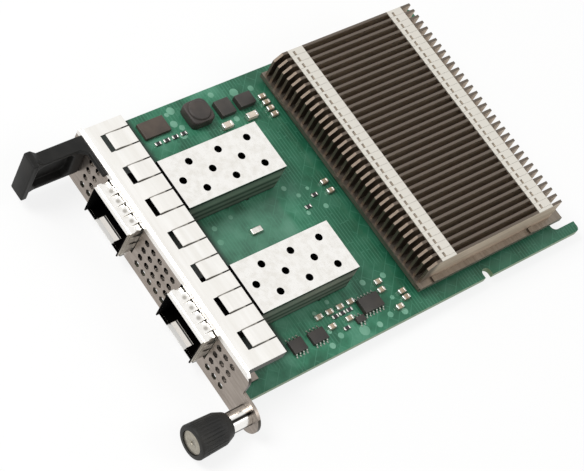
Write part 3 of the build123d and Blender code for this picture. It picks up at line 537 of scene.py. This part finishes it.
def roundedBlocks(centres, halves, squareness=0.3):
    u = np.array(blocks["rows"])[:, None]
    v = np.arange(blocks["columns"]) * 2 * np.pi / blocks["columns"]
    waves = (np.cos(u), np.sin(u), np.cos(v), np.sin(v))
    bend = [np.sign(wave) * np.abs(wave) ** squareness for wave in waves]
    unit = np.stack(np.broadcast_arrays(bend[0] * bend[2], bend[0] * bend[3], bend[1]), -1)
    return np.asarray(centres, float)[:, None, None] + unit * np.asarray(halves, float)[:, None, None]


# lowest and highest corners, in mm, of each box in a node made of plain boxes (twelve triangles each)
def solidBoxes(name):
    mesh = nodes[name].data
    spots = np.empty(len(mesh.vertices) * 3)
    mesh.vertices.foreach_get("co", spots)
    which = np.empty(len(mesh.loops), int)
    mesh.loops.foreach_get("vertex_index", which)
    corners = spots.reshape(-1, 3)[which].reshape(-1, 12 * 3, 3) / mm
    return corners.min(1), corners.max(1)


# a node's own mesh with its doubles merged, its flat faces joined and its edges rounded by a bevel
softEdges = {"merge": 0.001, "flatAngle": 1, "sharpAngle": 30, "segments": 2}
softNodes = {"pull_tab": (tabNylon, 0.35), "regulator_chip": (regulatorEpoxy, 0.12),
             "driver_chips": (chipEpoxy, 0.14), "memory_chip": (chipEpoxy, 0.1),
             "logic_chips": (chipEpoxy, 0.1), "ceramic_capacitors": (capCeramic, 0.1),
             "film_capacitors": (filmCapBody, 0.14), "crystal": (crystalCan, 0.2)}
bodyOf = {name: body for body, names in frame["record"]["behaviour"]["bodies"].items() for name in names}


def softenNode(name, material, width):
    mesh = nodes[name].data.copy()
    work = bmesh.new()
    work.from_mesh(mesh)
    bmesh.ops.remove_doubles(work, verts=work.verts, dist=softEdges["merge"] * mm)
    bmesh.ops.dissolve_limit(work, angle_limit=np.radians(softEdges["flatAngle"]), verts=work.verts,
                             edges=work.edges)
    work.to_mesh(mesh)
    work.free()
    mesh.polygons.foreach_set("use_smooth", np.ones(len(mesh.polygons), bool))
    piece = placePiece(name + ".softened", mesh, bodyOf[name], material, (name,))
    bevel = piece.modifiers.new("roundedEdges", "BEVEL")
    bevel.width = width * mm
    bevel.segments = softEdges["segments"]
    bevel.limit_method = "ANGLE"
    bevel.angle_limit = np.radians(softEdges["sharpAngle"])
    bevel.harden_normals = True


for name, (material, width) in softNodes.items():
    softenNode(name, material, width)
print("moulded edges rounded")

# tinned ends of the capacitors and resistors: rounded caps over both ends of each body
endCaps = {"reach": {"ceramic_capacitors": 0.5, "film_capacitors": 0.65, "chip_resistors": 0.36},
           "proud": 0.04}


def buildEndCaps():
    proud = endCaps["proud"]
    for name, reach in endCaps["reach"].items():
        low, high = solidBoxes(name)
        centre = (low + high) / 2
        half = (high - low) / 2 + proud
        half[:, 1] = (reach + proud) / 2
        half[:, 2] = (high[:, 2] + proud) / 2
        centre[:, 2] = half[:, 2]
        ends = []
        for side in (-1, 1):
            spot = centre.copy()
            spot[:, 1] += side * ((high - low)[:, 1] / 2 - (reach - proud) / 2)
            ends.append(spot)
        grids = roundedBlocks(np.concatenate(ends), np.concatenate([half, half]))
        piece = placePiece(name + ".tinnedEnds", gridMesh(name + ".tinnedEnds", grids), "card", solderTin)


buildEndCaps()

# gull-wing leads: a flat strip carried along a bent path, out of the body's side, down, and along the board
leads = {"path": ((-0.1, 0.55), (0.22, 0.55), (0.36, 0.44), (0.44, 0.14), (0.56, 0.06), (0.95, 0.06)),
         "halfWidth": 0.19, "thickness": 0.12, "pitch": 1.05, "endRoom": 0.6,
         "nodes": ("memory_chip", "logic_chips")}


def buildLeads():
    path = np.array(leads["path"])
    along = np.gradient(path, axis=0)
    normal = np.stack([-along[:, 1], along[:, 0]], 1) / np.linalg.norm(along, axis=1)[:, None]
    aside = np.array([-1, 1, 1, -1]) * leads["halfWidth"]
    above = np.array([-1, -1, 1, 1]) * leads["thickness"] / 2
    out = path[:, 0, None] + normal[:, 0, None] * above
    up = path[:, 1, None] + normal[:, 1, None] * above
    for name in leads["nodes"]:
        grids = []
        for low, high in zip(*solidBoxes(name)):
            count = int((high[1] - low[1] - leads["endRoom"]) / leads["pitch"]) + 1
            spots = (low[1] + high[1]) / 2 + (np.arange(count) - (count - 1) / 2) * leads["pitch"]
            for face, sign in ((low[0], -1), (high[0], 1)):
                x = np.broadcast_to(face + sign * out, (count, *out.shape))
                y = spots[:, None, None] + np.broadcast_to(aside, out.shape)
                z = np.broadcast_to(up, (count, *up.shape))
                grids.append(np.stack([x, y, z], -1)[:, :, ::sign])
        for side, part in (("far", grids[0::2]), ("near", grids[1::2])):
            mesh = gridMesh(f"{name}.leads.{side}", np.concatenate(part))
            placePiece(f"{name}.leads.{side}", mesh, "card", leadTin)


buildLeads()
print("tinned ends and leads made")

# inductor: rounded-square body whose top turns round, with a raised round face; its radius follows the
# superellipse |cos|^n + |sin|^n = r^-n, and n falls from 5 at the foot to 2 at the top face; each row gives
# the share of the half width, the height and n
inductor = {"centre": (-32.0, 36.8), "half": 3.4, "columns": 64,
            "rows": ((0.55, 0.0, 5), (0.95, 0.0, 5), (1.0, 0.25, 5), (1.0, 2.3, 5), (0.985, 2.6, 4),
                     (0.95, 2.78, 3.2), (0.9, 2.84, 2.6), (0.87, 2.86, 2.2), (0.85, 3.1, 2), (0.82, 3.28, 2),
                     (0.76, 3.38, 2), (0.5, 3.4, 2), (0.3, 3.36, 2), (0.1, 3.34, 2))}


def buildInductor():
    scale, height, power = (column[:, None] for column in np.array(inductor["rows"]).T)
    angle = np.arange(inductor["columns"]) * 2 * np.pi / inductor["columns"]
    radius = (np.abs(np.cos(angle)) ** power + np.abs(np.sin(angle)) ** power) ** (-1 / power)
    radius = radius * scale * inductor["half"]
    x = inductor["centre"][0] + radius * np.cos(angle)
    y = inductor["centre"][1] + radius * np.sin(angle)
    grid = np.stack(np.broadcast_arrays(x, y, height), -1)[None]
    piece = placePiece("power_inductor.body", gridMesh("power_inductor.body", grid), "card", inductorPowder,
                       ("power_inductor",))


buildInductor()

# pan heads with a cross recess: height = rim + crown sqrt(1 - p^2) over the radius share p, less the cross,
# which is deepest where the smaller of |x| and |y| is under the slot's half width and the larger under its
# half length
panHead = {"rings": 22, "columns": 96, "rimShade": 0.4, "slotHalf": 0.14, "slotReach": 0.52, "depth": 0.62,
           "soft": 0.05, "middle": 0.03}
screwSets = {"foot_screws": {"spots": [(x, 4.6, boardBottom) for x in (-30.5, 31.5)], "out": "-Z",
                             "head": 2.25, "height": 1.3, "shank": 1.25, "length": 2.37},
             "heat_sink_screws": {"spots": [(x, y, boardBottom) for x in (-30.5, 29.4)
                                            for y in (63.1, 104.1)],
                                  "out": "-Z", "head": 2.0, "height": 1.2, "shank": 1.0, "length": 3.37},
             "pull_tab_screws": {"spots": [(-31.9, 0.8, z) for z in (3.45, 8.25)], "out": "+Y",
                                 "head": 1.7, "height": 1.0, "shank": 0.95, "length": 3.8}}


def buildScrews():
    share = np.linspace(panHead["middle"], 1.0, panHead["rings"])[:, None]
    angle = np.arange(panHead["columns"]) * 2 * np.pi / panHead["columns"]
    small = np.minimum(np.abs(share * np.cos(angle)), np.abs(share * np.sin(angle)))
    large = np.maximum(np.abs(share * np.cos(angle)), np.abs(share * np.sin(angle)))
    slot = np.clip((panHead["slotHalf"] - small) / panHead["soft"] + 0.5, 0, 1)
    slot = slot * np.clip((panHead["slotReach"] - large) / panHead["soft"] + 0.5, 0, 1)
    crown = panHead["rimShade"] + (1 - panHead["rimShade"]) * np.sqrt(1 - share ** 2) - panHead["depth"] * slot
    for name, screw in screwSets.items():
        ends = np.array([(screw["head"], 0), (screw["shank"], 0), (screw["shank"], -screw["length"])])
        radius = np.concatenate([share[:, 0] * screw["head"], ends[:, 0]])[:, None]
        height = np.concatenate([crown * screw["height"],
                                 np.broadcast_to(ends[:, 1:], (len(ends), panHead["columns"]))])
        a, b = radius * np.cos(angle), radius * np.sin(angle)
        local = np.stack([a, b, -height] if screw["out"] == "-Z" else [a, height, b], -1)
        grids = np.asarray(screw["spots"], float)[:, None, None] + local
        mesh = gridMesh(name + ".heads", grids)
        placePiece(name + ".heads", mesh, "card", screwSteel, (name,))


buildScrews()
print("inductor and screws made")

# knob: a closed profile turned round the screw's axis, its grip fluted by depth cos^8 of half the flute angle
knob = {"front": ((1.56, -14.1), (3.1, -14.1), (3.1, -15.4), (3.85, -15.4), (4.2, -15.28)),
        "gripEnds": ((4.35, -15.0), (4.05, -7.8)), "gripRows": 14,
        "rear": ((3.95, -7.5), (3.2, -5.6), (3.05, -5.4), (2.92, -5.4), (2.92, -11.6), (1.56, -11.6)),
        "fluted": (-14.6, -8.2), "fade": 0.4, "outer": 3.9, "flutes": 28, "depth": 0.15, "columns": 336}


def buildKnob():
    grip = np.linspace(*np.array(knob["gripEnds"]), knob["gripRows"])
    profile = np.concatenate([np.array(knob["front"]), grip, np.array(knob["rear"])])
    angle = np.arange(knob["columns"]) * 2 * np.pi / knob["columns"]
    front, rear = knob["fluted"]
    fromEnd = np.minimum(profile[:, 1] - front, rear - profile[:, 1])
    share = np.clip(fromEnd / knob["fade"], 0, 1) * (profile[:, 0] > knob["outer"])
    flute = np.cos(knob["flutes"] * angle / 2) ** 8 * knob["depth"]
    radius = profile[:, :1] - share[:, None] * flute
    grid = np.stack(np.broadcast_arrays(screwAxis[0] + radius * np.cos(angle), profile[:, 1:],
                                        screwAxis[1] + radius * np.sin(angle)), -1)[None]
    mesh = gridMesh("thumbscrew_knob.fluted", grid, joinRows=True)
    piece = placePiece("thumbscrew_knob.fluted", mesh, "thumbscrew", knobNylon, ("thumbscrew_knob",))


buildKnob()

# captive screw: profile turned round the axis, with a thread of triangular section wound on its end,
# r = profile - depth |2 frac(y / pitch + angle / turn) - 1|
shank = {"front": ((0.2, -14.5), (0.5, -14.5), (0.5, -15.14), (0.56, -15.2), (2.92, -15.2), (3.05, -15.08),
                   (3.05, -14.1), (1.5, -14.1), (1.5, -5.54), (1.1, -5.54), (1.1, -5.01), (1.4, -5.01)),
         "thread": (-4.8, 0.6), "threadRows": 110,
         "tip": ((1.32, 0.66), (1.05, 0.98), (1.0, 1.0), (0.3, 1.0)),
         "radius": 1.5, "pitch": 0.5, "depth": 0.28, "columns": 48, "recessRows": 4, "recessSides": 6}


def buildShank():
    run = np.linspace(*shank["thread"], shank["threadRows"])
    middle = np.stack([np.full_like(run, shank["radius"]), run], 1)
    profile = np.concatenate([np.array(shank["front"]), middle, np.array(shank["tip"])])
    angle = np.arange(shank["columns"]) * 2 * np.pi / shank["columns"]
    phase = profile[:, 1:] / shank["pitch"] + angle / (2 * np.pi)
    onThread = np.zeros((len(profile), 1))
    onThread[len(shank["front"]):-len(shank["tip"])] = 1
    radius = profile[:, :1] - onThread * shank["depth"] * np.abs(2 * (phase % 1) - 1)
    # flat sides of the recess: r cos(half) / cos(angle from a side's middle)
    half = np.pi / shank["recessSides"]
    radius[:shank["recessRows"]] *= np.cos(half) / np.cos(angle % (2 * half) - half)
    grid = np.stack(np.broadcast_arrays(screwAxis[0] + radius * np.cos(angle), profile[:, 1:],
                                        screwAxis[1] + radius * np.sin(angle)), -1)[None]
    mesh = gridMesh("thumbscrew_shank.threaded", grid, sharpAngle=50)
    piece = placePiece("thumbscrew_shank.threaded", mesh, "thumbscrew", headSteel, ("thumbscrew_shank",))


buildShank()
print("thumbscrew made")

# plated contacts along both faces of the plug-in tongue, left out at the key slots
tongue = {"reach": 31.0, "pitch": 0.9, "middle": 109.6, "half": (0.31, 1.2, 0.02),
          "faces": (0.0, boardBottom), "keys": (-16.5, 9.0), "keyClear": 1.1}


def buildTongueContacts():
    spots = np.arange(-tongue["reach"], tongue["reach"], tongue["pitch"])
    spots = spots[np.abs(spots[:, None] - np.array(tongue["keys"])).min(1) > tongue["keyClear"]]
    for side, z in zip(("top", "bottom"), tongue["faces"]):
        centres = np.stack([spots, np.full_like(spots, tongue["middle"]), np.full_like(spots, z)], 1)
        grids = roundedBlocks(centres, np.broadcast_to(tongue["half"], centres.shape))
        mesh = gridMesh(f"tongueContacts.{side}", grids)
        placePiece(f"tongueContacts.{side}", mesh, "card", goldFlash)


# solder in the cage pins' holes, a low dome on the underside of the board
pinSolder = {"wall": 6.825, "spots": (9.0, 35.0), "half": (0.55, 0.65, 0.28), "squareness": 0.8}


def buildPinSolder():
    centres = [(x + side * pinSolder["wall"], y, boardBottom)
               for x in cageSpots for side in (-1, 1) for y in pinSolder["spots"]]
    halves = np.broadcast_to(pinSolder["half"], (len(centres), 3))
    grids = roundedBlocks(centres, halves, pinSolder["squareness"])
    placePiece("cagePinSolder", gridMesh("cagePinSolder", grids), "card", solderTin)


# round copper pads under the solder mask: flat discs with a rolled edge, each given by its X, Y and radius
pads = {"rows": ((1.0, -0.01), (1.0, 0.012), (0.94, 0.022), (0.4, 0.022)), "columns": 24,
        "spots": ((32.2, 32.2, 0.6), (-34.3, 50.4, 1.2), (36.1, 53.4, 0.9), (35.8, 40.6, 1.4),
                  (0.6, 21.6, 0.8), (34.3, 34.2, 0.8), (-3.2, 22.4, 0.7), (-36.0, 31.6, 1.1),
                  (-35.4, 30.0, 0.6), (-30.7, 31.6, 0.8), (-28.6, 30.6, 1.0), (-32.4, 30.2, 1.0),
                  (-27.4, 46.4, 0.8), (-33.7, 55.4, 0.8), (-5.4, 45.6, 0.7), (3.2, 52.9, 0.7),
                  (3.0, 47.4, 0.6), (-2.2, 48.0, 0.6), (-3.0, 51.4, 0.5), (25.0, 48.2, 0.8),
                  (25.6, 54.4, 0.8), (35.2, 49.4, 0.8), (25.4, 36.4, 0.6), (-4.2, 28.0, 0.6),
                  (35.6, 30.6, 0.8), (26.6, 31.6, 0.6), (36.2, 45.2, 0.8), (31.6, 52.8, 0.6),
                  (-24.6, 47.6, 0.6), (-36.0, 44.2, 0.8))}


def buildPads():
    share, height = (column[:, None] for column in np.array(pads["rows"]).T)
    angle = np.arange(pads["columns"]) * 2 * np.pi / pads["columns"]
    spots = np.array(pads["spots"])[:, None, None]
    x = spots[..., 0] + spots[..., 2] * share * np.cos(angle)
    y = spots[..., 1] + spots[..., 2] * share * np.sin(angle)
    grids = np.stack(np.broadcast_arrays(x, y, np.broadcast_to(height, x.shape)), -1)
    placePiece("maskedPads", gridMesh("maskedPads", grids), "card", maskedPad)


# webs at the bottom of the lock bars' grooves: a narrow strip carried along X that dips between the fins,
# z = top - dip (1 - cos(2 pi x / pitch)) / 2
lockWeb = {"runs": ((64.3, 65.2), (98.0, 98.9)), "reach": (-34.0, 32.0), "pitch": 2.0, "perPitch": 6,
           "top": 10.86, "dip": 0.14, "sheet": 0.2}


def buildLockWebs():
    start, end = lockWeb["reach"]
    x = np.linspace(start, end, int((end - start) / lockWeb["pitch"] * lockWeb["perPitch"]) + 1)[:, None]
    z = lockWeb["top"] - lockWeb["dip"] * (1 - np.cos(2 * np.pi * (x - start) / lockWeb["pitch"])) / 2
    z = z - np.array([0, 0, 1, 1]) * lockWeb["sheet"]
    grids = np.stack([np.stack(np.broadcast_arrays(x, np.array([low, high, high, low]), z), -1)
                      for low, high in lockWeb["runs"]])
    placePiece("lockBarWebs", gridMesh("lockBarWebs", grids), "card", webAluminium)


buildTongueContacts()
buildPinSolder()
buildPads()
buildLockWebs()
print("contacts, solder, pads and webs made")

# Floor just under the faceplate's lower edge, and soft studio light, in metres
studio = {"floor": "#f7f7f6", "floorSize": 3.0, "floorCells": 8, "floorDrop": 0.0002, "floorGlow": 0.82,
          "keySpot": (-0.32, -0.42, 0.7), "keyPower": 5.0, "fillSpot": (0.45, 0.5, 0.6), "fillPower": 1.2,
          "lampSize": 0.4, "aim": (0.0, 0.05, 0.0), "ambient": 0.5}


# 1 for rays from the camera, off metal and through glass, which see the pale background
def seenDirectly(tree):
    rays = addNode(tree, "LightPath").outputs
    seen = rays["Is Camera Ray"]
    for kind in ("Glossy", "Transmission"):
        seen = addNode(tree, "Math", {"operation": "MAXIMUM"}, links={0: seen, 1: rays[f"Is {kind} Ray"]})
    return seen


def buildStudio():
    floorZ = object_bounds()[0][2] - studio["floorDrop"]
    cells = studio["floorCells"]
    edge = np.linspace(-studio["floorSize"] / 2, studio["floorSize"] / 2, cells + 1)
    u, v = np.meshgrid(edge, edge, indexing="ij")  # flat grid
    points = np.stack([u, v, np.full_like(u, floorZ)], -1).reshape(-1, 3)
    mesh = bpy.data.meshes.new("studioFloor")
    corner = (np.arange(cells)[:, None] * (cells + 1) + np.arange(cells)).reshape(-1, 1)
    mesh.from_pydata(points.tolist(), [], (corner + np.array([0, cells + 1, cells + 2, 1])).tolist())
    floor = bpy.data.objects.new("studioFloor", mesh)
    bpy.context.scene.collection.objects.link(floor)
    # painted floor, lit from itself for the camera and for reflections, so that its shadow stays faint
    material, tree, shader = newMaterial("paintedStudioFloor", Roughness=0.9, Specular_IOR_Level=0.1)[:3]
    shader.inputs["Base Color"].default_value = linear(studio["floor"])
    glow = addNode(tree, "Emission", values={"Color": white, "Strength": 1.0})
    share = addNode(tree, "Math", {"operation": "MULTIPLY"}, {1: studio["floorGlow"]},
                    {0: seenDirectly(tree)})
    mixed = addNode(tree, "MixShader", links={"Fac": share, 1: shader, 2: glow})
    wire(tree, mixed, tree.nodes["Material Output"].inputs["Surface"])
    mesh.materials.append(material)
    world = bpy.data.worlds.new("studioWorld")
    bpy.context.scene.world = world
    world.use_nodes = True
    tree = world.node_tree
    level = addNode(tree, "MapRange", values={"To Min": studio["ambient"], "To Max": 1.0},
                    links={"Value": seenDirectly(tree)})
    wire(tree, level, tree.nodes["Background"].inputs["Strength"])
    tree.nodes["Background"].inputs["Color"].default_value = white


# a round soft lamp that looks at the card
def addLamp(name, spot, power):
    lamp = bpy.data.lights.new(name, "AREA")
    lamp.shape = "DISK"
    lamp.size = studio["lampSize"]
    lamp.energy = power
    holder = bpy.data.objects.new(name, lamp)
    bpy.context.scene.collection.objects.link(holder)
    back = np.subtract(spot, studio["aim"])
    back = back / np.linalg.norm(back)
    side = np.cross((0.0, 1.0, 0.0), back)
    side = side / np.linalg.norm(side)
    up = np.cross(back, side)
    holder.matrix_world = Matrix((*[(side[i], up[i], back[i], spot[i]) for i in range(3)], (0, 0, 0, 1)))


# Camera solved on the photograph: its right, down and forward directions, and its spot in mm
camera = {"right": (0.5599, 0.759979, 0.330067), "down": (0.781107, -0.351264, -0.516223),
          "forward": (-0.276378, 0.546851, -0.790297), "spot": (135.067, -214.883, 367.573),
          "focalPixels": 1929.95, "imageWidth": 584, "sensor": 36.0, "clipStart": 10.0}


def buildCamera():
    data = bpy.data.cameras.new("photoCamera")
    data.sensor_fit = "HORIZONTAL"
    data.sensor_width = camera["sensor"]
    data.lens = camera["sensor"] * camera["focalPixels"] / camera["imageWidth"]
    data.clip_start = camera["clipStart"] * mm
    holder = bpy.data.objects.new("photoCamera", data)
    bpy.context.scene.collection.objects.link(holder)
    axes = np.array([camera["right"], np.negative(camera["down"]), np.negative(camera["forward"])]).T
    spot = np.array(camera["spot"]) * mm
    holder.matrix_world = Matrix((*[(*axes[i], spot[i]) for i in range(3)], (0, 0, 0, 1)))
    bpy.context.scene.camera = holder


buildStudio()
addLamp("keySoftbox", studio["keySpot"], studio["keyPower"])
addLamp("rearFill", studio["fillSpot"], studio["fillPower"])
buildCamera()
bpy.context.scene.view_settings.view_transform = "Standard"
print("studio and camera set")
